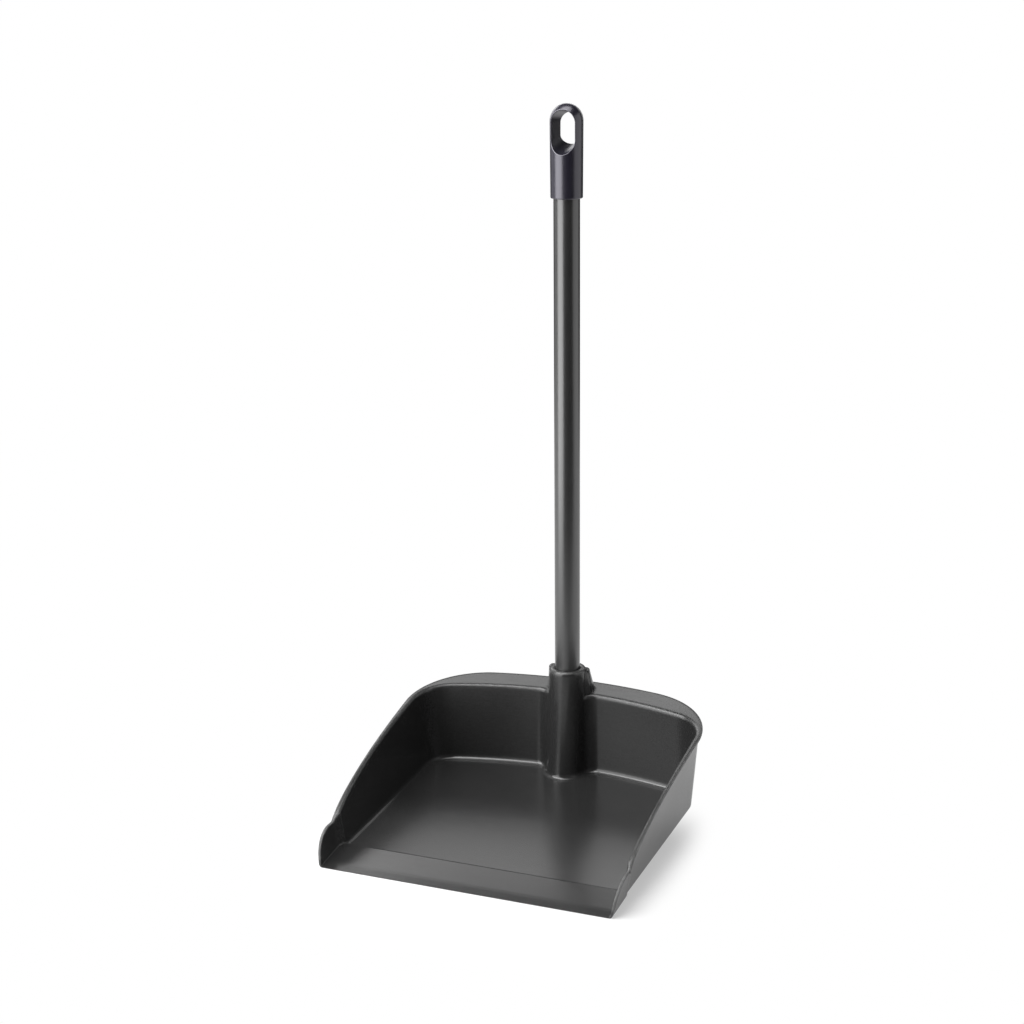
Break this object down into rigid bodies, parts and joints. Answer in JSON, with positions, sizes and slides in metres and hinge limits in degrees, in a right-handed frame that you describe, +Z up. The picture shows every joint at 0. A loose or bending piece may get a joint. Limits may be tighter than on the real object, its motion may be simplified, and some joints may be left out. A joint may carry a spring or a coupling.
{
  "type": "long-handled dustpan",
  "caption": "Open-fronted moulded dustpan with a low front ramp, rounded ears and an outward rim; an upright socket at the back holds a straight tube handle with a slotted hang-up cap.",
  "frame": {"origin": "on the ground, under the middle of the pan's outline", "axes": "+X to the right seen from the front edge, +Y from the front edge to the back, +Z up along the handle"},
  "size_m": [0.3056, 0.312, 0.6652],
  "materials": {
    "pan": "satin moulded plastic, dark grey",
    "handle_tube": "satin coating, dark grey",
    "hang_cap": "smooth moulded plastic, near black"
  },
  "bodies": {
    "pan": {"pan": "pan"},
    "handle": {"handle_tube": "handle_tube", "hang_cap": "hang_cap"}
  },
  "joints": [
    {"name": "handle_push_fit", "type": "slide", "parent": "pan", "child": "handle", "axis": [0, 0, 1], "range_m": [0, 0.106]}
  ]
}
